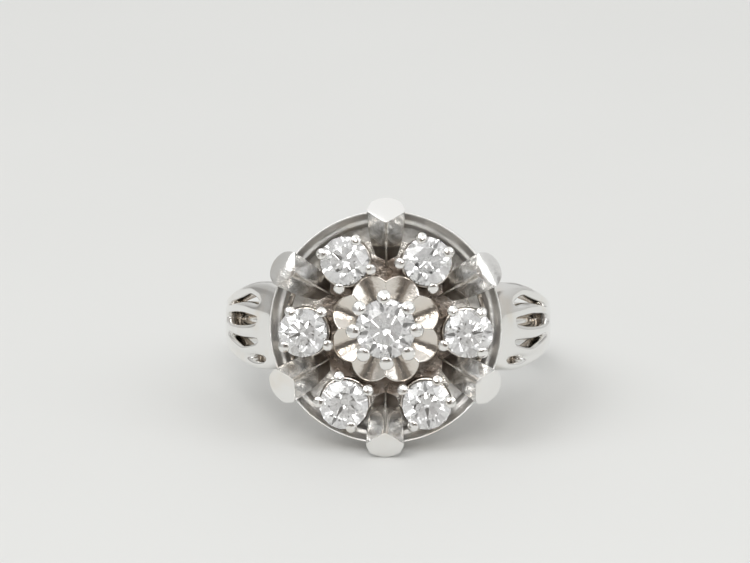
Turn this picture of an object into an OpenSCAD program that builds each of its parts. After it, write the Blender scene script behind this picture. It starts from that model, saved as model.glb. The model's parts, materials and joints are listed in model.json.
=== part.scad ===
// Cluster ring: a round stone in a petal cup, six smaller round stones about it, six V claws
// and two pierced fan shoulders. Each shape is made in the head's own frame, where X runs across
// the head, Y runs along the finger and Z runs out through the centre stone, with the middle of
// the finger hole at zero. The whole ring is then laid down on its side, as it rests on a table:
// it leans on its lowest claw and on the back edge of its band.

/* [Band] */
// Diameter of the finger hole
finger_d = 17.3; // [15:0.1:20]
// Width of the band along the finger
band_w = 2.4; // [1.8:0.1:3.2]
// Thickness of the band at its crown
band_t = 1.4; // [1.1:0.05:1.8]
// Thickness of the band at its two edges
band_edge_t = 0.85; // [0.6:0.05:1.0]

/* [Shoulders] */
// Greatest width of a shoulder, near the head
shoulder_w = 5.5; // [4.6:0.1:6.4]
// Thickness of a shoulder
shoulder_t = 1.1; // [0.8:0.05:1.4]
// How far the shoulders stand proud of the band's crown
shoulder_proud = 0.15; // [0.1:0.05:0.3]
// Height of the widest place of the shoulders above the middle of the finger hole
shoulder_bulge_h = 3; // [1.5:0.25:4]
// Greatest width of the openings in the shoulders
opening_w = 0.76; // [0.5:0.02:0.84]

/* [Head] */
// Height of the top of the gallery wall above the finger hole
head_h = 4.9; // [4.4:0.1:6]
// Gap between the ring of side stones and the inside of the gallery wall
side_room = 0.25; // [0.2:0.05:0.5]
// Height of the gallery wall
gallery_h = 1.7; // [1.3:0.1:2.1]
// Thickness of the gallery wall
gallery_wall = 0.3; // [0.25:0.05:0.5]
// Thickness of the gallery wall at its thin upper edge
rim_t = 0.12; // [0.1:0.02:0.24]
// How far the gallery wall leans in from its top to its foot
gallery_flare = 0.4; // [0.2:0.05:0.6]
// Width of the ledge inside the gallery wall
ledge_w = 0.2; // [0.1:0.05:0.3]
// Diameter of the round base that the head stands on
base_d = 6.6; // [5.8:0.1:7.2]
// Height of the base above the band's crown
base_rise = 0.45; // [0.3:0.05:0.6]
// Thickness of the plate that carries the settings
plate_t = 0.4; // [0.3:0.05:0.6]
// Diameter of the light hole behind each side stone
light_hole_d = 0.9; // [0.7:0.05:1.1]

/* [Claws] */
// How far the tips of the claws stand out past the gallery wall
claw_out = 0.8; // [0.6:0.1:1.2]
// Width of a claw at its tip
claw_w = 2.3; // [1.8:0.1:2.6]
// Length of the flat tip, measured outwards
claw_tip_l = 1.5; // [1.2:0.1:1.7]
// Height of a claw's crest above the gallery wall
claw_rise = 1.7; // [1.2:0.1:2.2]
// Height of the tip's crest above its outer end
claw_fall_h = 1.1; // [0.7:0.1:1.4]

/* [Centre setting] */
// Diameter of the centre stone
centre_d = 3.7; // [3.4:0.05:4]
// Height of the centre stone's edge above the gallery wall
centre_rise = 0.8; // [0.5:0.05:1]
// Length of a petal outwards from the edge of the centre stone
petal_l = 1.55; // [1.35:0.05:1.65]
// Height of the cup's rim below the centre stone's edge
cup_drop = 0.75; // [0.6:0.05:1.1]
// Thickness of the cup
cup_wall = 0.5; // [0.4:0.05:0.65]
// How far the centre setting sits below the middle of the head
centre_sag = 0.1; // [0:0.05:0.2]
// Diameter of the beads that hold the centre stone
centre_bead_d = 0.8; // [0.65:0.05:0.9]
// Diameter of the prongs under those beads
centre_prong_d = 0.6; // [0.5:0.05:0.64]

/* [Side settings] */
// Diameter of a side stone
side_d = 3; // [2.8:0.05:3.1]
// Gap between the petals and a side stone
side_gap = 0.15; // [0.1:0.05:0.3]
// How far the ring of side stones sits below the middle of the head
side_sag = 0.36; // [0:0.04:0.44]
// Height of a side stone's edge above the gallery wall
side_rise = 0.25; // [0.2:0.05:0.5]
// Outward lean of each side stone
side_tilt = 5; // [0:1:8]
// Diameter of the beads that hold a side stone
side_bead_d = 0.6; // [0.5:0.02:0.66]
// Diameter of the prongs under those beads
side_prong_d = 0.46; // [0.4:0.02:0.5]
// Thickness of the round wire that ties the prongs together
wire_d = 0.34; // [0.28:0.02:0.4]

/* [Cut of the stones] */
// Width of the table as a share of the stone's diameter
table_share = 0.56; // [0.5:0.01:0.62]
// Height of the crown as a share of the stone's diameter
crown_share = 0.15; // [0.12:0.01:0.17]
// Depth of the pavilion as a share of the stone's diameter
pavilion_share = 0.43; // [0.4:0.01:0.44]
// Thickness of the girdle as a share of the stone's diameter
girdle_share = 0.03; // [0.02:0.005:0.04]
// Distance of the stars' points from the middle as a share of the stone's radius
star_share = 0.76; // [0.72:0.01:0.8]
// The same for the lower ends of the facets below the girdle
main_share = 0.24; // [0.2:0.01:0.3]
// Gap between a stone and the metal round it
stone_gap = 0.04; // [0.03:0.01:0.06]

/* [Hidden] */
$fn = 48;
metal = [0.86, 0.85, 0.83];
diamond = [0.93, 0.95, 0.97];
claws = 6;
petals = 8;
// How far one piece of metal runs into the next where they are soldered
lap = 0.3;
// How far a cutting shape runs past what it cuts
over = 1;

finger_r = finger_d / 2;
band_r = finger_r + band_t;
edge_r = finger_r + band_edge_t;
top_n = finger_r + head_h;

// The band's outer face is an arc through its two edges and its crown.
crown_sag = band_t - band_edge_t;
crown_r = (pow(band_w / 2, 2) + pow(crown_sag, 2)) / (2 * crown_sag);

// The petals, the side stones, the gallery wall and the claws follow each other outwards.
petal_reach = centre_d / 2 + petal_l;
side_r = petal_reach + side_gap + side_d / 2;
gallery_r = side_r + side_d / 2 + side_room + gallery_wall;
claw_reach = gallery_r + claw_out;

// Gallery wall: radius and height of its foot
foot_r = gallery_r - gallery_flare;
foot_n = top_n - gallery_h;

// Claws: heights of the crest and of the outer end of the tip
crest_n = top_n + claw_rise;
tip_n = crest_n - claw_fall_h;
crest_r = claw_reach - claw_tip_l;

// Base of the head, and plate that closes the foot of the gallery wall
base_bottom_n = edge_r - lap;
base_top_n = band_r + base_rise;
base_r = base_d / 2;
plate_seat_h = 0.1;
plate_n = foot_n + plate_seat_h - plate_t;
plate_r = foot_r - gallery_wall / 2;

// Height of a side stone's edge, and of its setting from the plate's underside to that edge
side_n = top_n + side_rise;
side_foot = side_n - plate_n;

// Height of the ledge in the gallery wall as a share of the wall's height
ledge_share = 0.62;

// Centre stone and its cup. The cup's side runs from its foot up to a lip, its bowl dips inside
// the petals, and the stone's point hangs clear of the floor.
centre_n = top_n + centre_rise;
cup_n = centre_n - cup_drop;
cup_foot_r = 1.15;
culet_room = 1;
cup_floor_n = centre_n - (pavilion_share + girdle_share) * centre_d - culet_room;
lip_h = 0.75;
lip_in = 0.25;
lip_out = 0.1;
bowl_h = 0.45;
bowl_in = 0.35;
stem_r = 0.8;
// Radius of a petal's end seen from the front, and of the ball that hollows it out
petal_r = 1.2;
flute_r = 1.1;
// Place of that ball: inwards from the petal's end and above the cup's rim
flute_in = 0.98;
flute_lift = 0.72;

// Prongs: how far their middle lines stand outside the edge of the stone, how far their feet lie
// further in and down, and how far the middle of a bead lies inwards and above the edge
centre_prong_out = 0.15;
centre_prong_lean = 0.1;
centre_prong_root = 0.6;
side_prong_out = 0.04;
bead_in = 0.04;
centre_bead_lift = 0.24;
side_bead_lift = 0.2;

// Small cup at the foot of a side setting round the light hole, and the wire round its prongs
side_cup_h = 0.4 * side_foot;
side_cup_wall = 0.3;
side_cup_flare = 0.2;
side_cup_r = light_hole_d / 2 + side_cup_wall;
wire_drop = 0.95;
wire_in = 0.27;

// Sections of a claw from its foot up: height, inner reach, outer reach, half width, depth of
// the V. Heights are shares of the rise from the base to the outer end of the tip, reaches are
// shares of the claw's reach, half widths are shares of the claw's half width at the tip and the
// V's depth is a share of the half width there.
CLAW = [
    [0.00, 0.30, 0.46, 0.30, 0.80],
    [0.33, 0.46, 0.62, 0.44, 0.70],
    [0.52, 0.545, 0.75, 0.62, 0.62],
    [0.70, 0.625, 0.85, 0.83, 0.60],
    [0.88, 0.705, 0.955, 0.95, 0.62]];
// Depth of the V at the tip as a share of the half width there, and length of the straight side
// between the V and the round outer end as a share of the way to that end
tip_v = 0.62;
claw_side = 0.1;
// The tip's slope steepens a little outwards: the power that it follows, the place of its middle
// point as a share of its length and the height by which that point crowns it
pad_power = 1.2;
pad_middle = 0.55;
pad_crown = 0.06;
// Angles of the points round a claw's outer end
CLAW_END = [-90, -45, 0, 45, 90];

// Side view of a shoulder from its point on the band up to the head: height as a share of the
// way from the point to the top, half width as a share of the greatest.
LEAF = [
    [0.00, 0.00], [0.16, 0.22], [0.32, 0.38], [0.43, 0.46], [0.53, 0.53], [0.64, 0.63],
    [0.745, 0.81], [0.82, 0.93], [0.885, 1.00], [0.94, 0.96], [1.00, 0.80]];
// The four openings of a shoulder from the upper edge down, each from its end near the head to its
// end near the band: height as a share of the same way, middle as a share of the half width of the
// shoulder, width as a share of the greatest width.
OPENINGS = [
    [[0.907, 0.505, 0.28], [0.846, 0.615, 0.69], [0.816, 0.59, 0.45], [0.76, 0.53, 0.26],
        [0.649, 0.44, 0.16]],
    [[0.907, 0.125, 0.36], [0.85, 0.115, 0.81], [0.803, 0.125, 1.00], [0.70, 0.125, 1.00],
        [0.62, 0.13, 0.70], [0.585, 0.125, 0.28]],
    [[0.907, -0.35, 0.20], [0.85, -0.38, 0.56], [0.81, -0.405, 0.76], [0.776, -0.365, 0.54],
        [0.70, -0.27, 0.31], [0.638, -0.20, 0.18]],
    [[0.925, -0.755, 0.34], [0.89, -0.755, 0.65], [0.872, -0.74, 0.56], [0.838, -0.72, 0.24]]];

// Angle of each prong round its side stone, in degrees. A row is a stone, counted from the right
// anticlockwise as seen from the front.
SIDE_PRONGS = [
    [53, 121, 210, 311],
    [26, 99, 180, 287],
    [66, 158, 256, 347],
    [52, 127, 215, 330],
    [27, 103, 180, 285],
    [61, 150, 243, 2]];
// Turn of each stone about its own axis, the centre stone first
STONE_TURN = [11, 4, 17, 9, 21, 14, 6];

// Rest on a table: the ring leans on the outer end of its lowest claw and on the back corner of
// its band.
rest_tilt = atan2(claw_reach - band_w / 2, tip_n + edge_r);
rest_z = claw_reach * cos(rest_tilt) - tip_n * sin(rest_tilt);
front_y = max(crest_n * cos(rest_tilt) + crest_r * sin(rest_tilt),
              tip_n * cos(rest_tilt) + claw_reach * sin(rest_tilt));
back_y = (band_r - crown_r) * cos(rest_tilt) + crown_r;
rest_y = (front_y - back_y) / 2;

// Lays a shape made in the head's frame down on the table.
module at_rest() {
    translate([0, rest_y, rest_z]) rotate([90 - rest_tilt, 0, 0]) children();
}

// Runs an outline drawn in the ring's side view right across the ring.
module across(reach) {
    rotate([90, 0, 90]) translate([0, 0, -reach]) linear_extrude(2 * reach) children();
}

// Puts a shape on the centre setting.
module at_centre() {
    translate([0, -centre_sag, 0]) children();
}

// Puts a shape on one of the side settings.
module at_side(k) {
    turn = k * 360 / claws;
    translate([0, -side_sag, 0]) rotate([0, 0, turn]) translate([side_r, 0, side_n])
        rotate([0, side_tilt, 0]) rotate([0, 0, -turn]) children();
}

// A round bar from one point to another.
module bar(from, to, d) {
    way = to - from;
    translate(from)
        rotate([0, acos(way[2] / norm(way)), atan2(way[1], way[0])])
            cylinder(h = norm(way), d = d);
}

// Band: a torus section whose outer face is the crown arc, cut to the band's width
module band() {
    rotate([90, 0, 0]) intersection() {
        rotate_extrude() translate([band_r - crown_r, 0]) circle(r = crown_r);
        cylinder(h = band_w, r = band_r + over, center = true);
    }
}

// Outer face of the shoulders seen from the end of the finger: it rises out of the band, stands
// upright to the bulge and then curves in to the foot of the gallery wall.
shoulder_r = band_r + shoulder_proud;
shoulder_low_share = 0.72;
shoulder_low_n = -shoulder_low_share * finger_r;
shoulder_bury = 0.4;
shoulder_sink = shoulder_proud + shoulder_bury;
shoulder_top_n = foot_n + lap;
shoulder_top_in = 0.02;
shoulder_top_r = foot_r + gallery_flare * lap / gallery_h - shoulder_top_in;
arc_h = shoulder_top_n - shoulder_bulge_h;
arc_c = (pow(shoulder_r, 2) - pow(shoulder_top_r, 2) - pow(arc_h, 2))
    / (2 * (shoulder_r - shoulder_top_r));
function face_r(n) =
    n < 0 ? sqrt(pow(shoulder_r - shoulder_sink * n / shoulder_low_n, 2) - n * n) :
    n < shoulder_bulge_h ? shoulder_r :
    arc_c + sqrt(pow(shoulder_r - arc_c, 2) - pow(n - shoulder_bulge_h, 2));
steps_low = 4;
steps_high = 7;
face_heights = concat(
    [for (i = [0 : steps_low - 1]) shoulder_low_n * (1 - i / steps_low)],
    [0],
    [for (i = [0 : steps_high]) shoulder_bulge_h + arc_h * i / steps_high]);
leaf_h = shoulder_top_n - shoulder_low_n;
function leaf_n(share) = shoulder_low_n + leaf_h * share;

// One opening, drawn up one edge and down the other
module opening(rows) {
    function edge(row, side) =
        [shoulder_w / 2 * row[1] + side * opening_w / 2 * row[2], leaf_n(row[0])];
    polygon(concat(
        [for (row = rows) edge(row, 1)],
        [for (i = [len(rows) - 1 : -1 : 0]) edge(rows[i], -1)]));
}

// Both shoulders: a hollow turned shape cut to the leaf outline and pierced by four openings
module shoulders() {
    reach = shoulder_r + over;
    difference() {
        intersection() {
            rotate_extrude() polygon(concat(
                [for (n = face_heights) [face_r(n), n]],
                [for (i = [len(face_heights) - 1 : -1 : 0])
                    [face_r(face_heights[i]) - shoulder_t, face_heights[i]]]));
            across(reach) polygon(concat(
                [for (p = LEAF) [shoulder_w / 2 * p[1], leaf_n(p[0])]],
                [for (i = [len(LEAF) - 1 : -1 : 1])
                    [-shoulder_w / 2 * LEAF[i][1], leaf_n(LEAF[i][0])]]));
        }
        across(reach) for (rows = OPENINGS) opening(rows);
    }
}

// Base, plate, and gallery wall with its inner ledge
module gallery() {
    ledge_n = foot_n + gallery_h * ledge_share;
    ledge_r = foot_r + gallery_flare * ledge_share - gallery_wall;
    translate([0, 0, base_bottom_n]) cylinder(h = base_top_n - base_bottom_n, r = base_r);
    translate([0, 0, plate_n]) cylinder(h = plate_t, r = plate_r);
    rotate_extrude() polygon([
        [foot_r, foot_n], [gallery_r, top_n], [gallery_r - rim_t, top_n],
        [ledge_r, ledge_n], [ledge_r - ledge_w, ledge_n],
        [foot_r - gallery_wall - ledge_w, foot_n]]);
}

// One claw: V-shaped sections lofted from the base to the sloped tip
module claw() {
    low_n = base_top_n - lap;
    half = claw_w / 2;
    function ring_at(r_in, r_out, hw, v) = let (arm_r = r_in + v * hw) concat(
        [[r_in, 0], [arm_r, -hw]],
        [for (a = CLAW_END)
            [arm_r + (r_out - arm_r) * (claw_side + (1 - claw_side) * cos(a)), hw * sin(a)]],
        [[arm_r, hw]]);
    function pad_n(r) = crest_n - claw_fall_h * pow((r - crest_r) / claw_tip_l, pad_power);
    rows = [for (s = CLAW) [
        for (p = ring_at(s[1] * claw_reach, s[2] * claw_reach, s[3] * half, s[4]))
            [p[0], p[1], low_n + s[0] * (tip_n - low_n)]]];
    pad = [for (p = ring_at(crest_r, claw_reach, half, tip_v)) [p[0], p[1], pad_n(p[0])]];
    all_rows = concat(rows, [pad]);
    n = len(pad);
    last = len(all_rows) - 1;
    middle_r = crest_r + pad_middle * claw_tip_l;
    middle = [middle_r, 0, pad_n(middle_r) + pad_crown];
    floor_mid = [(CLAW[0][1] + CLAW[0][2]) / 2 * claw_reach, 0, low_n];
    polyhedron(
        points = concat([for (row = all_rows) each row], [middle, floor_mid]),
        faces = concat(
            [for (j = [0 : last - 1]) for (i = [0 : n - 1]) each [
                [j * n + i, (j + 1) * n + i, j * n + (i + 1) % n],
                [j * n + (i + 1) % n, (j + 1) * n + i, (j + 1) * n + (i + 1) % n]]],
            [for (i = [0 : n - 1]) [last * n + i, (last + 1) * n, last * n + (i + 1) % n]],
            [for (i = [0 : n - 1]) [i, (i + 1) % n, (last + 1) * n + 1]]));
}

// Space that a stone takes in the metal, with the gap all round
module stone_space(d) {
    r = d / 2 + stone_gap;
    half_girdle = girdle_share * d / 2 + stone_gap;
    rotate_extrude() polygon([
        [0, -half_girdle - pavilion_share * d], [r, -half_girdle], [r, half_girdle],
        [table_share * d / 2 + stone_gap, half_girdle + crown_share * d],
        [0, half_girdle + crown_share * d]]);
}

// Outline of the petal cup: eight arcs that meet in cusps behind the prongs
module petal_outline() {
    half = 180 / petals;
    c = petal_reach - petal_r;
    reach = c * cos(half) + sqrt(pow(petal_r, 2) - pow(c * sin(half), 2));
    cusp = atan2(reach * sin(half), reach * cos(half) - c);
    polygon([for (k = [0 : petals - 1]) for (i = [-3 : 2])
        let (middle = (2 * k + 1) * half, a = middle + cusp * i / 3)
            [c * cos(middle) + petal_r * cos(a), c * sin(middle) + petal_r * sin(a)]]);
}

// Petal cup on its stem, fluted between the eight prongs
module centre_setting() {
    step = 360 / petals;
    prong_r = centre_d / 2 + centre_prong_out;
    translate([0, 0, base_top_n - lap])
        cylinder(h = cup_floor_n - base_top_n + 2 * lap, r = stem_r);
    difference() {
        intersection() {
            rotate_extrude() polygon([
                [0, cup_floor_n], [cup_foot_r, cup_floor_n],
                [petal_reach - lip_in, cup_n - lip_h], [petal_reach + lip_out, cup_n],
                [petal_reach - cup_wall, cup_n],
                [centre_d / 2 - bowl_in, cup_n - bowl_h], [0, cup_floor_n + cup_wall]]);
            linear_extrude(crest_n) petal_outline();
        }
        for (k = [0 : petals - 1]) rotate([0, 0, (k + 0.5) * step])
            translate([petal_reach - flute_in, 0, cup_n + flute_lift]) sphere(r = flute_r);
    }
    for (k = [0 : petals - 1]) rotate([0, 0, k * step]) difference() {
        union() {
            bar([prong_r - centre_prong_lean, 0, cup_n - centre_prong_root],
                [prong_r, 0, centre_n], centre_prong_d);
            translate([prong_r - bead_in, 0, centre_n + centre_bead_lift])
                sphere(d = centre_bead_d);
        }
        translate([0, 0, centre_n]) stone_space(centre_d);
    }
}

// Light hole through the plate and the cup behind one side stone
module light_hole(k) {
    at_side(k) translate([0, 0, -side_foot - over])
        cylinder(h = side_cup_h + 2 * over, d = light_hole_d);
}

// One side setting: a small cup, a wire and four prongs with beads
module side_setting(k) {
    prong_r = side_d / 2 + side_prong_out;
    at_side(k) difference() {
        union() {
            translate([0, 0, -side_foot])
                cylinder(h = side_cup_h, r1 = side_cup_r, r2 = side_cup_r + side_cup_flare);
            translate([0, 0, -wire_drop]) rotate_extrude()
                translate([prong_r - wire_in, 0]) circle(d = wire_d);
            for (a = SIDE_PRONGS[k]) rotate([0, 0, a]) {
                bar([side_cup_r, 0, lap - side_foot], [prong_r, 0, 0], side_prong_d);
                translate([prong_r - bead_in, 0, side_bead_lift]) sphere(d = side_bead_d);
            }
        }
        stone_space(side_d);
    }
}

// All the metal, soldered into one piece
module ring_mount() {
    color(metal) at_rest() difference() {
        union() {
            band();
            shoulders();
            gallery();
            for (k = [0 : claws - 1]) rotate([0, 0, (k + 0.5) * 360 / claws]) claw();
            at_centre() centre_setting();
            for (k = [0 : claws - 1]) side_setting(k);
        }
        for (k = [0 : claws - 1]) light_hole(k);
        rotate([90, 0, 0])
            cylinder(h = 2 * (claw_reach + over), r = finger_r, center = true);
    }
}

// Round brilliant: table, 8 stars, 8 kites, 16 upper and 16 lower girdle facets and 8 mains.
// The rings of points from the top are the table, the star points, the upper and lower edge of
// the girdle and the points between the mains.
module brilliant(d) {
    r = d / 2;
    hg = girdle_share * d / 2;
    hc = crown_share * d;
    hp = pavilion_share * d;
    rt = table_share * r;
    rs = star_share * r;
    rl = main_share * r;
    step = 360 / 8;
    half = step / 2;
    star_n = hg + hc * (r - rs * cos(half)) / (r - rt);
    low_n = -hg - hp * (1 - rl * cos(half) / r);
    function at(radius, a, n) = [radius * cos(a), radius * sin(a), n];
    points = concat(
        [for (i = [0 : 7]) at(rt, i * step, hg + hc)],
        [for (i = [0 : 7]) at(rs, i * step + half, star_n)],
        [for (i = [0 : 15]) at(r, i * half, hg)],
        [for (i = [0 : 15]) at(r, i * half, -hg)],
        [for (i = [0 : 7]) at(rl, i * step + half, low_n)],
        [[0, 0, -hg - hp]]);
    star = 8;
    upper = 16;
    lower = 32;
    main = 48;
    culet = 56;
    polyhedron(points = points, faces = concat(
        [[7, 6, 5, 4, 3, 2, 1, 0]],
        [for (i = [0 : 7]) each let (j = (i + 1) % 8, h = (i + 7) % 8) [
            [i, j, star + i],
            [i, star + i, upper + 2 * i], [i, upper + 2 * i, star + h],
            [star + i, upper + 2 * i + 1, upper + 2 * i],
            [star + i, upper + 2 * j, upper + 2 * i + 1],
            [main + i, lower + 2 * i, lower + 2 * i + 1],
            [main + i, lower + 2 * i + 1, lower + 2 * j],
            [culet, lower + 2 * i, main + i], [culet, main + h, lower + 2 * i]]],
        [for (i = [0 : 15]) let (j = (i + 1) % 16)
            [upper + i, upper + j, lower + j, lower + i]]));
}

module centre_diamond() {
    color(diamond) at_rest() at_centre() translate([0, 0, centre_n])
        rotate([0, 0, STONE_TURN[0]]) brilliant(centre_d);
}

module side_diamond(k) {
    color(diamond) at_rest() at_side(k) rotate([0, 0, STONE_TURN[k + 1]]) brilliant(side_d);
}

ring_mount();
centre_diamond();
side_diamond(0);  // side_diamond_1
side_diamond(1);  // side_diamond_2
side_diamond(2);  // side_diamond_3
side_diamond(3);  // side_diamond_4
side_diamond(4);  // side_diamond_5
side_diamond(5);  // side_diamond_6
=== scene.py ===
# %% [markdown]
# # A flower cluster ring in white gold
# A cluster ring is built up by a goldsmith from small pieces: a band with two pierced shoulders,
# a head made of a gallery wall and six claws, a petal cup for the centre stone and a little
# basket for each stone round it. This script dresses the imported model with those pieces, so that
# each one has the rounded edges and the polish of the real thing. Everything is drawn in the
# head's own frame, in millimetres, and is laid down on the table at the end.

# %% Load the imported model
import json
import math

import bpy
import numpy as np
from mathutils import Matrix, Vector


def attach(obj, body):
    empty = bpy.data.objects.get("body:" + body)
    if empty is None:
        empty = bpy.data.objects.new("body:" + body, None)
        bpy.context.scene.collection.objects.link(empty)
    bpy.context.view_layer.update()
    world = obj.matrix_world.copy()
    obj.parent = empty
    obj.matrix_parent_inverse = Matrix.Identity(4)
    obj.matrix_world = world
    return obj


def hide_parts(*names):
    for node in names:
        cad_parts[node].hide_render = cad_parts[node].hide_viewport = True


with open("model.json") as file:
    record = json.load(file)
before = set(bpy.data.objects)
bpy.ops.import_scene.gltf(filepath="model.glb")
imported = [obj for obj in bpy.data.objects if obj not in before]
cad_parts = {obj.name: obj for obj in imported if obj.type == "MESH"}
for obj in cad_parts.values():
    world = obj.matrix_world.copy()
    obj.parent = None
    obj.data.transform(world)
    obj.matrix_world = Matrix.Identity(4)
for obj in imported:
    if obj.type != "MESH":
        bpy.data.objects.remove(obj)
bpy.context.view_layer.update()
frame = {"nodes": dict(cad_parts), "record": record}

print("nodes:", sorted(frame["nodes"]))

# %% [markdown]
# ## The head's frame
# The ring lies on its side and leans back a little, so drawing it in the table's frame would
# fill every line with sines. A frame of its own is easier: u runs across the head, v along the
# finger and n out through the centre stone. The finger hole's mount gives its middle and its
# direction, and those two fix the whole frame.

# %% From the head's frame to the table
hole = next(m for m in frame["record"]["mounts"] if m["name"] == "finger_hole")
MM = 0.001
FINGER_R = hole["dims"]["r_mm"]
BAND_W = hole["dims"]["length_mm"]
across = Vector((1, 0, 0))
along = Vector(hole["axis"]).normalized()
outwards = across.cross(along)
HEAD = Matrix.Translation(hole["pos_m"]) @ Matrix((across, along, outwards)).transposed().to_4x4()
TO_TABLE = np.array(HEAD @ Matrix.Scale(MM, 4))
FROM_TABLE = np.linalg.inv(TO_TABLE)


def moved(points, matrix):
    points = np.asarray(points, float).reshape(-1, 3)
    return points @ matrix[:3, :3].T + matrix[:3, 3]


lean = math.degrees(math.asin(along.y))
print(f"the ring leans back by {lean:.2f} degrees, hole radius {FINGER_R} mm")

# %% [markdown]
# ## Where the stones sit
# A setter works from the stones, so the script does too. The tip of a stone's pavilion and the
# middle of its table give its axis, and the points furthest from that axis are its girdle.

# %% Measure every stone


def stone_seat(node):
    verts = np.array([v.co for v in frame["nodes"][node].data.vertices])
    points = moved(verts, FROM_TABLE)
    points = np.unique(points.round(4), axis=0)
    points = points[np.argsort(points[:, 2])]
    tip, table = points[0], points[-8:].mean(0)
    axis = (table - tip) / np.linalg.norm(table - tip)
    height = (points - tip) @ axis
    reach = np.linalg.norm(points - tip - np.outer(height, axis), axis=1)
    girdle = height[reach > reach.max() - 0.01].mean()
    return {"middle": tip + axis * girdle, "axis": axis, "radius": reach.max()}


SIDES = [f"side_diamond_{k}" for k in range(1, 7)]
SEATS = {node: stone_seat(node) for node in ["centre_diamond"] + SIDES}
for node, seat in SEATS.items():
    print(node, "middle", seat["middle"].round(2), "radius", round(seat["radius"], 2), "mm")

# %% [markdown]
# ## Camera
# The photo looks along the plane of the band, about one degree from above, so the camera stands
# as high as the ring leans back. It also stands one degree to the right, because the right
# shoulder shows more than the left. The picture is about 45 mm wide at the ring, and the head
# sits a little to the right of its middle and below it.

# %% Set up the camera
PHOTO_W, PHOTO_H = 750, 563
PX_PER_MM = 16.5
HEAD_PX = Vector((385.5, 327.5))
FACE_N = 14.6
CAMERA_RISE = 1.0
CAMERA_TURN = 1.0
DISTANCE = 0.32
face = Vector(moved([0, 0, FACE_N], TO_TABLE)[0])
elevation = math.radians(lean + CAMERA_RISE)
turn = math.radians(CAMERA_TURN)
picture_right = Vector((math.cos(turn), math.sin(turn), 0))
sight = Vector((-math.sin(turn), math.cos(turn), 0)) * math.cos(elevation)
sight.z = -math.sin(elevation)
picture_up = picture_right.cross(sight)
shift_mm = (Vector((PHOTO_W / 2, PHOTO_H / 2)) - HEAD_PX) / PX_PER_MM
aim = face + (picture_right * shift_mm.x - picture_up * shift_mm.y) * MM
camera = bpy.data.objects.new("camera", bpy.data.cameras.new("camera"))
bpy.context.scene.collection.objects.link(camera)
camera.location = aim - sight * DISTANCE
camera.rotation_euler = sight.to_track_quat("-Z", "Y").to_euler()
camera.data.sensor_width = 36
camera.data.lens = 36 * DISTANCE / (PHOTO_W / PX_PER_MM * MM)
camera.data.clip_start = 0.01
bpy.context.scene.camera = camera
print("camera at", [round(x, 3) for x in camera.location], "lens", round(camera.data.lens), "mm")

# %% [markdown]
# ## Shader maths as expressions
# A finish is easier to read as a formula than as a net of nodes. The class below wraps one
# socket. Adding or multiplying two of them makes the Math node, and `node` makes any other kind.

# %% A socket that can be calculated with


class Value:
    tree = None

    def __init__(self, socket):
        self.socket = socket

    @classmethod
    def node(cls, kind, settings=None, out=0, **inputs):
        made = cls.tree.nodes.new(kind)
        for key, value in (settings or {}).items():
            setattr(made, key, value)
        for key, value in inputs.items():
            slot = int(key[1:]) if key[0] == "_" else key.replace("_", " ")
            cls.feed(made.inputs[slot], value)
        return cls(made.outputs[out])

    @classmethod
    def feed(cls, socket, value):
        if isinstance(value, Value):
            cls.tree.links.new(value.socket, socket)
        else:
            socket.default_value = value

    def math(self, operation, other=0.0):
        return Value.node("ShaderNodeMath", {"operation": operation}, _0=self, _1=other)

    def __add__(self, other):
        return self.math("ADD", other)

    def __mul__(self, other):
        return self.math("MULTIPLY", other)

    def __sub__(self, other):
        return self.math("SUBTRACT", other)

    def __truediv__(self, other):
        return self.math("DIVIDE", other)

    def __pow__(self, other):
        return self.math("POWER", other)

    def __rsub__(self, other):
        return Value.node("ShaderNodeMath", {"operation": "SUBTRACT"}, _0=other, _1=self)

    __radd__ = __add__
    __rmul__ = __mul__

    def between(self, low, high):
        """0 at low and 1 at high, with a soft start and end."""
        return Value.node("ShaderNodeMapRange", {"interpolation_type": "SMOOTHSTEP"},
                          Value=self, From_Min=low, From_Max=high)

    def mix(self, first, second):
        """The first colour where this is 0, the second where it is 1."""
        return Value.node("ShaderNodeMix", {"data_type": "RGBA"}, out=2,
                          _0=self, _6=first, _7=second)


def dot(place, direction):
    return Value.node("ShaderNodeVectorMath", {"operation": "DOT_PRODUCT"}, out=1,
                      _0=place, _1=tuple(direction))


def noise(place, per_mm, detail=2.0):
    return Value.node("ShaderNodeTexNoise", Vector=place, Scale=per_mm / MM, Detail=detail)


# %% [markdown]
# ## Polished white gold
# White gold is plated with rhodium, which gives a cold bright mirror with a trace of warmth where
# the plating is thin. What tells it from plastic chrome is what wear leaves behind: hairlines
# from the polishing mop, a faint orange peel, and a warm brown film inside the head, where no
# brush reaches. The film is also painted shade: it lies within a radius of the n axis, above the
# head's base, and thickens with depth, as the shade in the head does, and all of these are plain
# sums of the place in the head's frame. Round the foot of the petal cup, on the front of the
# plate, a painted shade makes it nearly black.

# %% Mix the metal
RHODIUM = (0.88, 0.875, 0.86, 1)
WARM_GOLD = (0.84, 0.80, 0.74, 1)
# Colour of the film, which also stands in for painted shade deep in the head
FILM_AND_SHADE = (0.66, 0.585, 0.50, 1)
# Near-black painted shade for the front of the plate round the cup's foot
DARK_PAINTED_SHADE = (0.22, 0.18, 0.15, 1)
FILM_AND_SHADE_R = 6.9
FILM_AND_SHADE_LOW = FINGER_R + 1.5
PLATE_MIDDLE = FINGER_R + 3.1


def new_material(name):
    made = bpy.data.materials.new(name)
    made.use_nodes = True
    Value.tree = made.node_tree
    return made, made.node_tree.nodes["Principled BSDF"]


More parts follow.
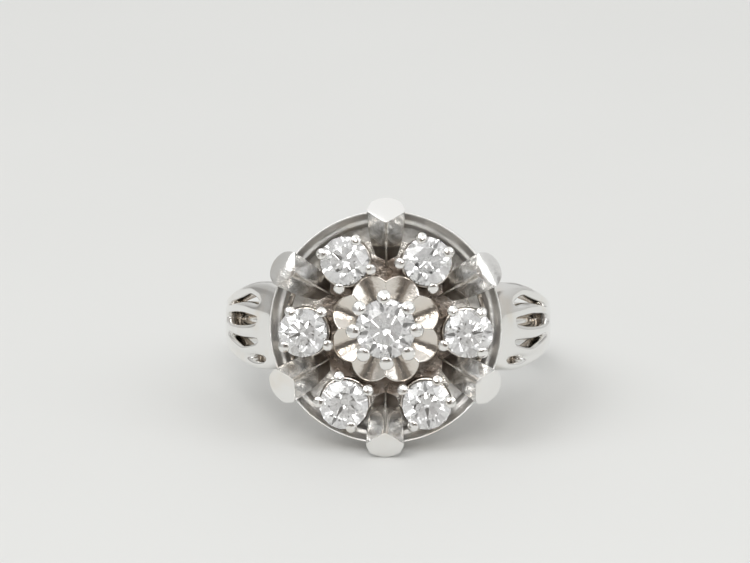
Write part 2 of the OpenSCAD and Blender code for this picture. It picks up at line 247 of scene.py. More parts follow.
def white_gold(name, top=14.4, foot=11.8, share=0.7, all_over=0.0, painted_shade_r=None, dents=0.0,
               dull=0.07, film_and_shade_dull=0.1):
    """Film and painted shade lie below the height top, thickest at foot; near-black painted shade
    lies within the given radii.
    """
    made, shader = new_material(name)
    place = Value.node("ShaderNodeTexCoord", out=3)
    u, v, height = [(dot(place, way) - way.dot(HEAD.translation)) / MM
                    for way in (across, along, outwards)]
    radius = (u * u + v * v) ** 0.5
    inside = 1 - radius.between(FILM_AND_SHADE_R - 0.1, FILM_AND_SHADE_R + 0.1)
    cloud = noise(place, 0.5, 3.0)
    # Film and painted shade: inside the gallery, heavier with depth in the head, patchy with the
    # cloud
    deep = (1 - height.between(foot, top)) * height.between(FILM_AND_SHADE_LOW - 0.3, FILM_AND_SHADE_LOW + 0.3)
    film_and_shade = inside * deep * (0.5 + 0.9 * cloud) * share + all_over
    bare = cloud.between(0.5, 0.8).mix(RHODIUM, WARM_GOLD)
    colour = film_and_shade.mix(bare, FILM_AND_SHADE)
    # Painted shade: near-black on the front of the plate, round the foot of the cup
    if painted_shade_r:
        front = height.between(PLATE_MIDDLE - 0.1, PLATE_MIDDLE + 0.1)
        patchy = 0.55 + 0.8 * noise(place, 1.1, 2.0)
        painted_shade = front * (1 - radius.between(painted_shade_r[0], painted_shade_r[1])) * patchy
        colour = painted_shade.mix(colour, DARK_PAINTED_SHADE)
    Value.feed(shader.inputs["Base Color"], colour)
    Value.feed(shader.inputs["Roughness"], dull + 0.06 * noise(place, 1.4) + film_and_shade_dull * film_and_shade)
    shader.inputs["Metallic"].default_value = 1.0
    peel = noise(place, 2.2, 2.0) + 0.25 * noise(place, 14.0, 1.0)
    Value.feed(shader.inputs["Normal"], Value.node(
        "ShaderNodeBump", Strength=0.12 + dents, Distance=(0.02 + dents) * MM, Height=peel))
    return made


# Every finish but the wall's carries the film and painted shade, each in its own amount
metal = white_gold("white_gold")
cup_metal = white_gold("white_gold_cup", top=15.0, foot=12.6, share=1.0, dents=0.1)
claw_metal = white_gold("white_gold_claw", foot=12.8, share=0.45, dents=0.1,
                        dull=0.14, film_and_shade_dull=0.35)
bead_metal = white_gold("white_gold_bead", dents=0.13)
# The plate carries the near-black painted shade within these radii
plate_metal = white_gold("white_gold_plate", share=0.25, painted_shade_r=(4.0, 4.6), dents=0.25, dull=0.22)
wall_metal = white_gold("white_gold_wall", share=0.0, dents=0.22, dull=0.38)
# The back finish has film and painted shade all over
back_metal = white_gold("white_gold_back", share=0.0, all_over=0.65)
print("finishes:", [made.name for made in bpy.data.materials if made.name.startswith("white_gold")])

# %% [markdown]
# ## Brilliant-cut diamond
# A brilliant returns the light from above because its pavilion is steeper than diamond's
# critical angle, so real glass optics do the work: transmission and diamond's own refractive
# index. A worn stone is never quite clear: a film of dust and soap lifts its dark facets, so a
# twentieth of the light is scattered. The girdle is left ground, so its facets, which run round
# the stone's axis, are frosted.

# %% Mix the diamond
DIAMOND_IOR = 2.417
CLEAR = 0.95
POLISH = 0.006
GROUND = 0.3


def diamond(name, axis):
    made, shader = new_material(name)
    facing = Value.node("ShaderNodeNewGeometry", out=1)
    upright = dot(facing, axis).math("ABSOLUTE")
    girdle = 1 - upright.between(0.05, 0.2)
    Value.feed(shader.inputs["Roughness"], POLISH + girdle * GROUND)
    Value.feed(shader.inputs["Base Color"], girdle.mix((1, 1, 1, 1), (0.93, 0.94, 0.95, 1)))
    shader.inputs["Transmission Weight"].default_value = CLEAR
    shader.inputs["IOR"].default_value = DIAMOND_IOR
    return made


for node, seat in SEATS.items():
    axis = (HEAD.to_3x3() @ Vector(seat["axis"])).normalized()
    stone = frame["nodes"][node]
    stone.data.materials.clear()
    stone.data.materials.append(diamond(node, axis))
print("stones finished:", len(SEATS))

# %% [markdown]
# ## Tools for making shapes
# Turned pieces, such as the gallery wall, come from a profile swept in a circle. Cast pieces,
# such as the claws, come from a coarse cage that a bevel and a subdivision surface round off.
# Both return plain lists of points and faces, so that they can be joined before they become one
# mesh, and every mesh goes through the same last step.

# %% Points, faces and pieces


def joined(*shapes):
    points, faces = [], []
    for some, theirs in shapes:
        faces += [[i + len(points) for i in face] for face in theirs]
        points += [tuple(p) for p in some]
    return points, faces


BEVEL_FROM = 32


def piece(name, shape, finish, bevel=0.0, rounds=0, sharp=40, behind=None, other_faces=()):
    """One named piece; its other faces take the finish that is given as behind."""
    points, faces = shape
    mesh = bpy.data.meshes.new(name)
    mesh.from_pydata([tuple(p) for p in moved(points, TO_TABLE)], [], faces)
    mesh.polygons.foreach_set("use_smooth", [True] * len(mesh.polygons))
    mesh.materials.append(finish)
    if behind:
        mesh.materials.append(behind)
        for i in other_faces:
            mesh.polygons[i].material_index = 1
    obj = bpy.data.objects.new(name, mesh)
    bpy.context.scene.collection.objects.link(obj)
    if bevel:
        edge = obj.modifiers.new("bevel", "BEVEL")
        edge.width = bevel * MM
        edge.segments = 2
        edge.limit_method = "ANGLE"
        edge.angle_limit = math.radians(BEVEL_FROM)
    if rounds:
        subdivision = obj.modifiers.new("rounding", "SUBSURF")
        subdivision.levels = subdivision.render_levels = rounds
    else:
        mesh.set_sharp_from_angle(angle=math.radians(sharp))
    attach(obj, "root")
    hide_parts("ring_mount")
    print(f"{name}: {len(points)} points, {len(faces)} faces")
    return obj


def rounded(outline, radius, steps=4):
    """A closed outline in which every corner is a small arc."""
    outline = [np.array(p, float) for p in outline]
    made = []
    neighbours = zip(outline[-1:] + outline[:-1], outline, outline[1:] + outline[:1])
    for before, corner, after in neighbours:
        arms = []
        for end in (before, after):
            arm = end - corner
            length = np.linalg.norm(arm)
            arms.append(corner + arm / length * min(radius, 0.45 * length))
        for i in range(steps + 1):
            t = i / steps
            made.append((1 - t) ** 2 * arms[0] + 2 * t * (1 - t) * corner + t * t * arms[1])
    return made


def turned(profile, steps, about="n"):
    """A closed profile of (radius, height) swept round the n axis or the v axis."""
    points, faces = [], []
    count = len(profile)
    for i in range(steps):
        a = 2 * math.pi * i / steps
        for r, h in profile:
            x, y = r * math.cos(a), r * math.sin(a)
            points.append((x, y, h) if about == "n" else (y, h, x))
    for i in range(steps):
        j = (i + 1) % steps
        for k in range(count):
            m = (k + 1) % count
            faces.append([i * count + k, j * count + k, j * count + m, i * count + m])
    return points, faces


def rod(profile, foot, tip, steps):
    """A solid lathe shape: (radius, share of the way) pairs from the foot to the tip."""
    foot, tip = np.array(foot, float), np.array(tip, float)
    axis = tip - foot
    length = np.linalg.norm(axis)
    axis = axis / length
    side = np.cross(axis, (0.0, 0.0, 1.0) if abs(axis[2]) < 0.9 else (1.0, 0.0, 0.0))
    side = side / np.linalg.norm(side)
    other = np.cross(axis, side)
    points, faces = [], []
    for r, h in profile:
        for i in range(steps):
            a = 2 * math.pi * i / steps
            points.append(foot + axis * h * length + r * (side * math.cos(a) + other * math.sin(a)))
    for j in range(len(profile) - 1):
        for i in range(steps):
            k = (i + 1) % steps
            faces.append([j * steps + i, j * steps + k, (j + 1) * steps + k, (j + 1) * steps + i])
    faces.append(list(range(steps))[::-1])
    faces.append([(len(profile) - 1) * steps + i for i in range(steps)])
    return points, faces


# %% [markdown]
# ## The band
# The band is a plain half-round wire bent into a ring: flat against the finger, with its
# corners eased so that it slips over the knuckle, and domed outside. Turning that section about
# the finger is exactly how such a band is trued on a lathe.

# %% Turn the band
BAND_T = 1.4
BAND_EDGE_T = 0.85
BAND_R = FINGER_R + BAND_T
BAND_CORNER = 0.16
crown_sag = BAND_T - BAND_EDGE_T
crown_r = ((BAND_W / 2) ** 2 + crown_sag ** 2) / (2 * crown_sag)
crown = [(BAND_R - crown_r + math.sqrt(crown_r ** 2 - v * v), v)
         for v in np.linspace(-BAND_W / 2, BAND_W / 2, 13)]
section = crown + [(FINGER_R, BAND_W / 2), (FINGER_R, -BAND_W / 2)]
band = piece("band", turned(rounded(section, BAND_CORNER, 3), 256, "v"), metal, sharp=60)

# %% [markdown]
# ## The pierced shoulders
# Each shoulder is a leaf of metal that rises from the band, widens and curls in under the head.
# The maker pierced four openings in it and rounded the five ribs between them. A sheet with
# missing cells has the same build: the grid follows the leaf, the openings are cells left out,
# and the subdivision surface rounds the ribs as a file would.

# %% The leaf's outline and face
SHOULDER_W = 5.5
SHOULDER_T = 1.1
SHOULDER_R = BAND_R + 0.15
LEAF_LOW = -0.72 * FINGER_R
LEAF_TOP = 12.15
BULGE_N = 3.0
LEAF_TOP_R = 6.75
SINK = 0.55
LEAF = [(0.00, 0.10), (0.16, 0.22), (0.32, 0.38), (0.43, 0.46), (0.53, 0.53), (0.64, 0.63),
        (0.745, 0.81), (0.82, 0.93), (0.885, 1.00), (0.94, 0.96), (1.00, 0.80)]
leaf_rise = LEAF_TOP - BULGE_N
curl_c = ((SHOULDER_R ** 2 - LEAF_TOP_R ** 2 - leaf_rise ** 2) / (2 * (SHOULDER_R - LEAF_TOP_R)))


def leaf_reach(n):
    """Distance of the leaf's outer face from the n axis."""
    if n < 0:
        return math.sqrt((SHOULDER_R - SINK * n / LEAF_LOW) ** 2 - n * n)
    if n < BULGE_N:
        return SHOULDER_R
    return curl_c + math.sqrt((SHOULDER_R - curl_c) ** 2 - (n - BULGE_N) ** 2)


def leaf_half(share):
    return SHOULDER_W / 2 * np.interp(share, *zip(*LEAF))


# %% [markdown]
# The four openings were sawn by eye, so each has a row of its own: its height, its middle and its
# width at a few places. Beyond its two ends an opening's edges simply keep their share of the
# leaf's width, so that the grid's columns flow on without a kink. The file rounded the ribs
# between the openings, so their middle columns stand a little proud.

# %% Columns of the leaf's grid
OPENING_W = 0.76
OPENINGS = [np.array(rows[::-1]) for rows in (
    [[0.925, -0.755, 0.34], [0.89, -0.755, 0.65], [0.872, -0.74, 0.56], [0.838, -0.72, 0.24]],
    [[0.907, -0.35, 0.20], [0.85, -0.38, 0.56], [0.81, -0.405, 0.76], [0.776, -0.365, 0.54],
     [0.70, -0.27, 0.31], [0.638, -0.20, 0.18]],
    [[0.907, 0.125, 0.36], [0.85, 0.115, 0.81], [0.803, 0.125, 1.00], [0.70, 0.125, 1.00],
     [0.62, 0.13, 0.70], [0.585, 0.125, 0.28]],
    [[0.907, 0.505, 0.28], [0.846, 0.615, 0.69], [0.816, 0.59, 0.45], [0.76, 0.53, 0.26],
     [0.649, 0.44, 0.16]])]
ROWS = [0.0, 0.12, 0.24, 0.36, 0.46, 0.54, 0.585, 0.615, 0.645, 0.68, 0.72, 0.76, 0.80, 0.84,
        0.872, 0.907, 0.925, 0.96, 1.0]
LAYERS = [0.0, 0.5, SHOULDER_T]
RIB_CROWN = 0.1


def opening_edges(rows, share):
    at = min(max(share, rows[0, 0]), rows[-1, 0])
    middle = SHOULDER_W / 2 * np.interp(at, rows[:, 0], rows[:, 1])
    half = OPENING_W / 2 * np.interp(at, rows[:, 0], rows[:, 2])
    keep = leaf_half(share) / leaf_half(at)
    return [(middle - half) * keep, (middle + half) * keep]


def leaf_columns(share):
    w = leaf_half(share)
    marks = [-w] + [v for rows in OPENINGS for v in opening_edges(rows, share)] + [w]
    columns = [marks[0]]
    for i in range(0, len(marks), 2):
        columns += [(marks[i] + marks[i + 1]) / 2, marks[i + 1]]
        if i + 2 < len(marks):
            columns.append(marks[i + 2])
    return columns


def is_open(row, column):
    """Whether a cell of the grid belongs to an opening: every third cell may."""
    if column % 3 != 2:
        return False
    rows = OPENINGS[column // 3]
    near = 0.012
    return ROWS[row] > rows[0, 0] - near and ROWS[row + 1] < rows[-1, 0] + near


def rib_crown(share, column):
    along_rib = float(np.interp(share, (0.5, 0.65, 0.88, 0.97), (0, 1, 1, 0)))
    return RIB_CROWN * along_rib if column % 3 == 1 else 0.0


def shoulder_cage(side):
    points, index, faces, inner_faces = [], {}, [], []
    columns = len(leaf_columns(0.5))
    for layer, depth in enumerate(LAYERS):
        for row, share in enumerate(ROWS):
            n = LEAF_LOW + (LEAF_TOP - LEAF_LOW) * share
            for column, v in enumerate(leaf_columns(share)):
                reach = leaf_reach(n) - depth + (rib_crown(share, column) if layer == 0 else 0)
                index[layer, row, column] = len(points)
                points.append((side * math.sqrt(reach ** 2 - v * v), v, n))
    kept = {(r, c) for r in range(len(ROWS) - 1) for c in range(columns - 1) if not is_open(r, c)}
    last = len(LAYERS) - 1
    for r, c in sorted(kept):
        ring = [(r, c), (r, c + 1), (r + 1, c + 1), (r + 1, c)]
        faces.append([index[0, i, j] for i, j in ring])
        inner_faces.append(len(faces))
        faces.append([index[last, i, j] for i, j in reversed(ring)])
        beside = [(r - 1, c), (r, c + 1), (r + 1, c), (r, c - 1)]
        for k, cell in enumerate(beside):
            if cell in kept:
                continue
            p, q = ring[k], ring[(k + 1) % 4]
            inner_faces.append(len(faces) + last - 1)
            for layer in range(last):
                faces.append([index[layer, p[0], p[1]], index[layer + 1, p[0], p[1]],
                              index[layer + 1, q[0], q[1]], index[layer, q[0], q[1]]])
    if side < 0:
        faces = [face[::-1] for face in faces]
    return (points, faces), inner_faces


# The shoulders' inner faces and the sides of their openings take the back finish, with its film and
# painted shade
for name, side in (("shoulder_right", 1), ("shoulder_left", -1)):
    cage, inner_faces = shoulder_cage(side)
    piece(name, cage, metal, rounds=2, behind=back_metal, other_faces=inner_faces)

# %% [markdown]
# ## The gallery
# The head stands on a round base. A thin wall leans outwards round everything, and a plate closes
# its foot and carries the settings. The wall's upper edge catches the light as a bright line, and
# the ledge inside it as a second one, so both edges are rounded only slightly. Below the ledge
# solder has filled the corner, so the wall runs down to the plate in a hollow curve. Only the
# wall's outer side was polished; its inner side is dull.

# %% Turn the wall and the base
HEAD_TOP = FINGER_R + 4.9
GALLERY_R = 7.1
GALLERY_H = 1.7
GALLERY_WALL = 0.3
RIM_T = 0.12
FLARE = 0.4
LEDGE = 0.28
LEDGE_SHARE = 0.62
WALL_CORNER = 0.13
WALL_STEPS = 256
foot_n = HEAD_TOP - GALLERY_H
foot_r = GALLERY_R - FLARE
ledge_n = foot_n + GALLERY_H * LEDGE_SHARE
ledge_r = foot_r + FLARE * LEDGE_SHARE - GALLERY_WALL
wall_profile = rounded([
    (foot_r, foot_n), (GALLERY_R, HEAD_TOP), (GALLERY_R - RIM_T, HEAD_TOP),
    (ledge_r, ledge_n), (ledge_r - LEDGE, ledge_n), (foot_r - GALLERY_WALL - LEDGE, foot_n)],
    WALL_CORNER)
outer_side = [i * len(wall_profile) + k for i in range(WALL_STEPS) for k in range(8)]
piece("gallery_wall", turned(wall_profile, WALL_STEPS), wall_metal, sharp=60,
      behind=metal, other_faces=outer_side)

FILLET_W = 1.0
FILLET_H = 0.38
FILLET_SINK = 0.16
PLATE_LAP = 0.1
fillet_out = foot_r - GALLERY_WALL - LEDGE + FILLET_SINK
plate_top = foot_n + PLATE_LAP
fillet = [(fillet_out - FILLET_W * (1 - math.cos(a)), plate_top + FILLET_H * (1 - math.sin(a)))
          for a in np.linspace(0, math.pi / 2, 9)]
fillet += [(fillet_out - FILLET_W, foot_n), (fillet_out, foot_n)]
piece("gallery_fillet", turned(fillet, WALL_STEPS), wall_metal, sharp=60)

BASE_R = 3.3
BASE_HOLE_R = 0.6
BASE_CORNER = 0.12
base_low, base_top = FINGER_R + 0.55, BAND_R + 0.45
base_profile = [(BASE_HOLE_R, base_low), (BASE_R, base_low),
                (BASE_R, base_top), (BASE_HOLE_R, base_top)]
piece("gallery_base", turned(rounded(base_profile, BASE_CORNER), 128), metal, sharp=60)

# %% [markdown]
# The plate has a light hole behind each side stone. A flat curve is the natural tool for a sheet
# with holes: every closed line inside the outer one is cut out of it, and the curve's own
# extrusion and bevel give the sheet its thickness and its broken edges.

# %% Cut the plate
PLATE_T = 0.4
PLATE_EASE = 0.05
LIGHT_HOLE_R = 0.45
plate_n = plate_top - PLATE_T
plate_middle = plate_n + PLATE_T / 2


def add_ring(curve, middle, radius, steps=48):
    line = curve.splines.new("POLY")
    line.points.add(steps - 1)
    for i, point in enumerate(line.points):
        a = 2 * math.pi * i / steps
        point.co = (middle[0] + radius * math.cos(a), middle[1] + radius * math.sin(a), 0, 1)
    line.use_cyclic_u = True


def plate_shape():
    curve = bpy.data.curves.new("plate_outline", "CURVE")
    curve.dimensions, curve.fill_mode = "2D", "BOTH"
    curve.extrude = PLATE_T / 2 - PLATE_EASE
    curve.bevel_depth, curve.bevel_resolution, curve.offset = PLATE_EASE, 2, -PLATE_EASE
    add_ring(curve, (0, 0), foot_r - GALLERY_WALL / 2, 160)
    for node in SIDES:
        middle, axis = SEATS[node]["middle"], SEATS[node]["axis"]
        add_ring(curve, middle + axis * (plate_middle - middle[2]) / axis[2], LIGHT_HOLE_R)
    drawn = bpy.data.objects.new("plate_outline", curve)
    mesh = bpy.data.meshes.new_from_object(drawn)
    shape = ([tuple(v.co + Vector((0, 0, plate_middle))) for v in mesh.vertices],
             [list(face.vertices) for face in mesh.polygons])
    bpy.data.objects.remove(drawn)
    bpy.data.curves.remove(curve)
    bpy.data.meshes.remove(mesh)
    return shape


piece("gallery_plate", plate_shape(), plate_metal, sharp=50)

# %% [markdown]
# ## The six claws
# Each claw is a folded strip: its two sides meet in a ridge that points at the centre stone, and
# its flat top slopes away outwards and ends in a round. The cage is a stack of such V sections,
# and a narrow bevel on its edges gives the bright lines that the polishing wheel leaves. The ridge
# itself is filed flat, and its foot runs on towards the cup as a thin fin. The tips were filed by
# hand: the flatter a tip starts at its crest, the broader the dark line that it mirrors there.

# %% Build one claw and turn it six times
CLAW_REACH = 7.9
CLAW_HALF = 1.15
CLAW_PAD = 1.5
CREST_N = HEAD_TOP + 1.7
CLAW_FALL = 1.1
TIP_V = 0.62
CLAW_SIDE = 0.1
PAD_POWER = [2.2, 1.2, 2.0, 1.2, 1.3, 1.7]
PAD_CROWN = 0.09
CLAW_SINK = 0.3
CREST_R = CLAW_REACH - CLAW_PAD
claw_low = base_top - CLAW_SINK
tip_n = CREST_N - CLAW_FALL
CLAW = np.array([
    [0.00, 0.30, 0.46, 0.30, 0.80],
    [0.30, 0.43, 0.60, 0.42, 0.60],
    [0.46, 0.53, 0.70, 0.62, 0.42],
    [0.64, 0.565, 0.79, 0.72, 0.42],
    [0.80, 0.605, 0.87, 0.84, 0.52],
    [0.92, 0.675, 0.96, 0.95, 0.62]])
CLAW_X = [-1.0, -0.8, -0.45, -0.1, 0.1, 0.45, 0.8, 1.0]
RIDGE_X = 0.1
FIN = [(3.7, 11.9), (5.1, 11.9), (5.1, 13.75), (4.75, 13.4), (3.7, 12.6)]
FIN_HALF = 0.06
CLAW_F = [0.0, 0.25, 0.5, 0.75, 1.0]


def claw_point(x, f, inner, outer, half, v):
    arm = inner + v * half
    near = inner + v * (abs(x) - RIDGE_X) * half
    far = arm + (outer - arm) * (CLAW_SIDE + (1 - CLAW_SIDE) * math.sqrt(max(1 - x * x, 0)))
    return near + (far - near) * f, x * half


def pad_height(r, x, power):
    fall = max(r - CREST_R, 0) / CLAW_PAD
    return CREST_N - CLAW_FALL * fall ** power - PAD_CROWN * x * x


def claw_cage(power):
    top = {}
    points, faces = [], []
    for i, x in enumerate(CLAW_X):
        for j, f in enumerate(CLAW_F):
            r, s = claw_point(x, f, CREST_R, CLAW_REACH, CLAW_HALF, TIP_V)
            top[i, j] = len(points)
            points.append((r, s, pad_height(r, x, power)))
    last_i, last_j = len(CLAW_X) - 1, len(CLAW_F) - 1
    for i in range(last_i):
        for j in range(last_j):
            faces.append([top[i, j], top[i, j + 1], top[i + 1, j + 1], top[i + 1, j]])
    rim = ([(i, 0) for i in range(last_i)] + [(last_i, j) for j in range(last_j)]
           + [(i, last_j) for i in range(last_i, 0, -1)] + [(0, j) for j in range(last_j, 0, -1)])
    above = [top[key] for key in rim]
    for share, inner, outer, half, v in CLAW[::-1]:
        ring = []
        for i, j in rim:
            r, s = claw_point(CLAW_X[i], CLAW_F[j], inner * CLAW_REACH, outer * CLAW_REACH,
                              half * CLAW_HALF, v)
            ring.append(len(points))
            points.append((r, s, claw_low + share * (tip_n - claw_low)))
        count = len(rim)
        for k in range(count):
            m = (k + 1) % count
            faces.append([above[k], above[m], ring[m], ring[k]])
        above = ring
    faces.append(above)
    return points, faces


def turned_by(shape, degrees):
    a = math.radians(degrees)
    c, s = math.cos(a), math.sin(a)
    return [(x * c - y * s, x * s + y * c, n) for x, y, n in shape[0]], shape[1]


def fin():
    count = len(FIN)
    points = [(r, side * FIN_HALF, n) for side in (-1, 1) for r, n in FIN]
    faces = [list(range(count)), [count + i for i in range(count)][::-1]]
    faces += [[i, count + i, count + (i + 1) % count, (i + 1) % count] for i in range(count)]
    return points, faces


for k in range(6):
    piece(f"claw_{k + 1}", turned_by(claw_cage(PAD_POWER[k]), 30 + 60 * k), claw_metal, bevel=0.1,
          rounds=2)
    piece(f"claw_fin_{k + 1}", turned_by(fin(), 30 + 60 * k), claw_metal, bevel=0.03)

# %% [markdown]
# ## The petal cup
# The centre stone stands in an illusion setting: a cup whose rim is cut into eight petals, each
# fluted with a graver whose strokes all run to the middle, so that its polish throws light at the
# stone and makes it look larger. Strokes through one point make a cone, so the height of the cup
# is the radius times a wave of the angle, and each petal shows straight rays of light and dark.

# %% Shape the cup
CENTRE = SEATS["centre_diamond"]
CUP_V = CENTRE["middle"][1]
centre_n = CENTRE["middle"][2]
centre_r = CENTRE["radius"]
PETALS = 8
PETAL_REACH = 3.4
PETAL_R = 1.2
CUP_N = centre_n - 0.5
CUP_FLOOR = 11.65
SEAT_R = 1.7
RIM_RISE = 0.12
CONE_SLOPE = 0.18
FLUTE_SLOPE = 0.15
BOWL_DEEP = 0.8
LIP_FROM = 0.965
STEM_R = 0.8
STEM_SINK = 0.3
half_petal = math.pi / PETALS


def petal_local(a):
    """The angle from the middle line of the nearest petal."""
    return (a % (2 * half_petal)) - half_petal


def petal_reach(a):
    c = PETAL_REACH - PETAL_R
    d = petal_local(a)
    return c * math.cos(d) + math.sqrt(PETAL_R ** 2 - (c * math.sin(d)) ** 2)


def cup_height(r, a):
    """Height of the cup's upper face: a cone with a flute between every two ridges."""
    wave = 1 - (petal_local(a) / half_petal) ** 2
    ridge = CUP_N + RIM_RISE - CONE_SLOPE * (PETAL_REACH - r)
    bowl = BOWL_DEEP * max(0.0, 1 - r / SEAT_R)
    return ridge - bowl - FLUTE_SLOPE * r * wave * min(1.0, r / SEAT_R)


def cup_shape(steps=24 * PETALS):
    points, faces = [], []
    lip = [(0.985, 0.0), (1.0, -0.05), (1.0, -0.14)]
    wall = [(0.99, -0.3), (0.965, -0.5), (0.93, -0.75), (0.84, -1.0), (0.72, -1.3), (0.56, -1.6),
            (0.42, -1.85), (0.34, -1.97)]
    for i in range(steps):
        a = 2 * math.pi * (i + 0.5) / steps
        reach = petal_reach(a)
        column = []
        for share in np.linspace(0.02, LIP_FROM, 32):
            r = share * reach
            column.append((r, cup_height(r, a)))
        rim = cup_height(LIP_FROM * reach, a)
        for share, drop in lip:
            column.append((share * reach, rim + drop))
        for share, drop in wall:
            r = share * (reach + (1 - share) * (PETAL_REACH - reach))
            column.append((r, CUP_N + drop))
        points += [(r * math.cos(a), r * math.sin(a) + CUP_V, n) for r, n in column]
    count = len(points) // steps
    for i in range(steps):
        j = (i + 1) % steps
        for k in range(count - 1):
            faces.append([i * count + k, i * count + k + 1, j * count + k + 1, j * count + k])
    faces.append([i * count for i in range(steps)])
    faces.append([i * count + count - 1 for i in range(steps)][::-1])
    return points, faces


stem = rod([(STEM_R, 0), (STEM_R, 1)], (0, CUP_V, base_top - STEM_SINK),
           (0, CUP_V, CUP_FLOOR + STEM_SINK), 40)
piece("petal_cup", joined(cup_shape(), stem), cup_metal, sharp=70)

# %% [markdown]
# ## Prongs and beads
# A prong is a wire whose end is pushed over the stone's edge and rounded with a cup burr into a
# bead, which is lower than a ball and leans outwards a little. So each one is two lathe shapes,
# a tapering shaft and a bead with an axis of its own. The setter pushed each over by hand, so
# each has its own angle and stands out by its own amount.

# %% Set the centre stone
SHAFT = [(1.25, 0.0), (1.1, 0.4), (1.0, 1.0)]
BEAD_LEAN = math.radians(17)
BEAD_HIGH = 0.4
BEAD_DEEP = 0.85


def beaded(foot, middle, out, shaft_r, bead_r):
    """A prong: a shaft from its foot to the middle of its bead, and the bead that leans out."""
    axis = out * math.sin(BEAD_LEAN) + np.array((0, 0, math.cos(BEAD_LEAN)))
    low, high = BEAD_DEEP * bead_r, BEAD_HIGH * bead_r
    bead = []
    for i in range(15):
        a = math.pi * (1 - i / 14)
        h = (high if a < math.pi / 2 else low) * math.cos(a)
        bead.append((max(bead_r * math.sin(a), 0.004), (low + h) / (low + high)))
    shaft = [(shaft_r * r, h) for r, h in SHAFT]
    return joined(rod(shaft, foot, middle, 20),
                  rod(bead, middle - axis * low, middle + axis * high, 28))


BEAD_R = 0.45
BEAD_LIFT = 0.36
PRONG_R = 0.3
PRONG_CLEAR = 0.05
PRONG_DROP = 1.35
BEAD_TURN = [-1.4, 43.5, 93.3, 141.7, 184.0, 229.1, 272.0, 313.6]
BEAD_OUT = [0.06, 0.04, 0.14, 0.2, 0.14, 0.2, 0.24, 0.18]
prongs = []
for degrees, bead_out in zip(BEAD_TURN, BEAD_OUT):
    a = math.radians(degrees)
    out = np.array((math.cos(a), math.sin(a), 0.0))
    foot = CENTRE["middle"] + out * (centre_r + PRONG_CLEAR) - np.array((0, 0, PRONG_DROP))
    bead_at = CENTRE["middle"] + out * (centre_r + bead_out) + np.array((0, 0, BEAD_LIFT))
    prongs.append(beaded(foot, bead_at, out, PRONG_R, BEAD_R))
piece("centre_prongs", joined(*prongs), bead_metal, sharp=70)

# %% [markdown]
# Each side stone has a basket of its own: a small cup round the light hole, a wire that ties the
# prongs together half way up, and four prongs. They were bent in by hand, so each stone has its
# prongs at its own angles.

# %% Set the six side stones
SIDE_PRONGS = [
    [53, 121, 210, 311],
    [26, 99, 180, 287],
    [66, 158, 256, 347],
    [52, 127, 215, 330],
    [27, 103, 180, 285],
    [61, 150, 243, 2]]
SIDE_BEAD_R = 0.35
SIDE_PRONG_R = 0.23
SIDE_BEAD_LIFT = 0.3
SIDE_BEAD_IN = 0.08
SIDE_PRONG_FOOT = 0.3
WIRE_R = 0.17
WIRE_DROP = 0.95
WIRE_IN = 0.23
CUP_SHARE = 0.4
CUP_WALL = 0.3
CUP_FLARE = 0.2
CUP_CORNER = 0.06


def wire_ring(middle_r, height, radius, steps=48, around=10):
    profile = [(middle_r + radius * math.cos(2 * math.pi * i / around),
                height + radius * math.sin(2 * math.pi * i / around)) for i in range(around)]
    return turned(profile, steps)


def basket(seat, angles):
    r = seat["radius"]
    depth = seat["middle"][2] - plate_n
    low, outer = -depth, LIGHT_HOLE_R + CUP_WALL
    cup_top = low + CUP_SHARE * depth
    cup = [(LIGHT_HOLE_R, low), (outer, low), (outer + CUP_FLARE, cup_top), (LIGHT_HOLE_R, cup_top)]
    shapes = [wire_ring(r - WIRE_IN, -WIRE_DROP, WIRE_R), turned(rounded(cup, CUP_CORNER), 40)]
    for degrees in angles:
        a = math.radians(degrees)
        out = np.array((math.cos(a), math.sin(a), 0.0))
        foot = out * outer + np.array((0, 0, SIDE_PRONG_FOOT - depth))
        bead_at = out * (r - SIDE_BEAD_IN) + np.array((0, 0, SIDE_BEAD_LIFT))
        shapes.append(beaded(foot, bead_at, out, SIDE_PRONG_R, SIDE_BEAD_R))
    points, faces = joined(*shapes)
    turn = Vector((0, 0, 1)).rotation_difference(Vector(seat["axis"])).to_matrix()
    return np.asarray(points) @ np.array(turn).T + seat["middle"], faces


for k, node in enumerate(SIDES):
    piece(f"side_setting_{k + 1}", basket(SEATS[node], SIDE_PRONGS[k]), bead_metal, sharp=70)

# %% [markdown]
# ## The table and the light
# The photo was taken in a bright, soft room on a pale surface. A pale floor stands in for the
# surface, and the room is a big soft box: bright overhead and behind the camera, greyer at the
# sides and darkest at the left, with a few darker gaps.
# What draws a polished edge is the one dark side of such a room, behind the camera: each place
# that faces it shows a brown line or spot. A wide brown card behind the camera does that here.
# The stones would drown in it, so only the metal sees the card, and a small dark disc in front
# of it, which stands for the lens, gives the stones their few dark facets. A small lamp above
# the camera shines straight into the head, where the soft light hardly reaches.

# %% Lay the floor
FLOOR_HALF = 1.5
FLOOR_DARK = (0.685, 0.69, 0.68, 1)
FLOOR_PALE = (0.725, 0.73, 0.72, 1)


def pale_floor():
    made, shader = new_material("pale_floor")
    place = Value.node("ShaderNodeTexCoord", out=3)
    shade = noise(place, 0.02, 2.0)
    Value.feed(shader.inputs["Base Color"], shade.mix(FLOOR_DARK, FLOOR_PALE))
    shader.inputs["Roughness"].default_value = 0.7
    return made


mesh = bpy.data.meshes.new("floor")
corners = [(-1, -1), (1, -1), (1, 1), (-1, 1)]
mesh.from_pydata([(x * FLOOR_HALF, y * FLOOR_HALF, 0) for x, y in corners], [], [[0, 1, 2, 3]])
floor = bpy.data.objects.new("floor", mesh)
bpy.context.scene.collection.objects.link(floor)
mesh.materials.append(pale_floor())
print("floor:", 2 * FLOOR_HALF, "m square")

# %% Set up the card and the lens
CARD_BROWN = (0.34, 0.305, 0.275, 1)
LENS_DARK = (0.13, 0.125, 0.12, 1)


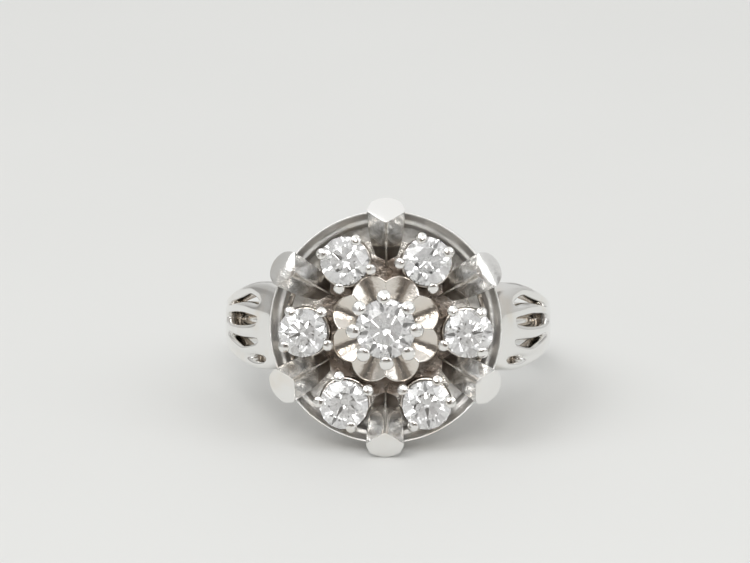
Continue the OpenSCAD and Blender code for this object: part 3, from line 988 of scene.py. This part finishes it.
def round_card(name, radius, distance, colour):
    made, shader = new_material(name)
    shader.inputs["Base Color"].default_value = colour
    shader.inputs["Roughness"].default_value = 0.9
    mesh = bpy.data.meshes.new(name)
    turns = [2 * math.pi * i / 48 for i in range(48)]
    mesh.from_pydata([(radius * math.cos(a), radius * math.sin(a), 0) for a in turns], [],
                     [list(range(48))])
    mesh.materials.append(made)
    card = bpy.data.objects.new(name, mesh)
    bpy.context.scene.collection.objects.link(card)
    card.location = face - sight * distance
    card.rotation_euler = sight.to_track_quat("Z", "Y").to_euler()
    card.visible_camera = False
    print(f"{name}: {radius} m in radius, {distance} m from the ring")
    return card


round_card("brown_card", 0.34, 0.62, CARD_BROWN).visible_transmission = False
round_card("lens_disc", 0.1, 0.6, LENS_DARK)

# %% Hang the lights


def area_light(name, place, size, power, colour=(1, 1, 1)):
    data = bpy.data.lights.new(name, "AREA")
    data.shape = "RECTANGLE"
    data.size, data.size_y = size
    data.energy = power
    data.color = colour
    light = bpy.data.objects.new(name, data)
    bpy.context.scene.collection.objects.link(light)
    light.location = place
    light.rotation_euler = (face - Vector(place)).to_track_quat("-Z", "Y").to_euler()
    print(f"{name}: {power} W")


area_light("window", (-0.5, -0.35, 0.8), (0.7, 0.7), 2.9)
area_light("fill", (0.55, -0.4, 0.5), (0.5, 0.5), 0.9)
area_light("lamp", face - sight * 0.5 + picture_up * 0.2, (0.16, 0.16), 0.56, (1, 0.98, 0.95))

# %% Paint the room
GAP = (0.42, 0.41, 0.40, 1)
WALL_LOW = (0.72, 0.71, 0.69, 1)
WALL_HIGH = (0.93, 0.93, 0.92, 1)
SKY = (1.25, 1.25, 1.24, 1)
FRONT = (1.12, 1.11, 1.09, 1)
LEFT = (0.46, 0.45, 0.43, 1)
ROOM_STRENGTH = 0.77
world = bpy.data.worlds.new("studio")
bpy.context.scene.world = world
world.use_nodes = True
Value.tree = world.node_tree
direction = Value.node("ShaderNodeTexCoord", out=0)
up = dot(direction, (0, 0, 1))
gaps = noise(direction, 0.0022, 1.0).between(0.5, 0.62) * (1 - up.between(0.3, 0.5))
walls = up.between(-0.1, 0.4).mix(WALL_LOW, WALL_HIGH)
sky = up.between(0.6, 0.95).mix(walls, SKY)
front = dot(direction, -sight).between(0.55, 0.85) * 0.4
left = dot(direction, (-1, 0, 0)).between(0.45, 0.85) * 0.55
room = left.mix(front.mix(gaps.mix(sky, GAP), FRONT), LEFT)
Value.feed(world.node_tree.nodes["Background"].inputs["Color"], room)
world.node_tree.nodes["Background"].inputs["Strength"].default_value = ROOM_STRENGTH
bpy.context.scene.view_settings.view_transform = "Standard"
print("room nodes:", len(world.node_tree.nodes))
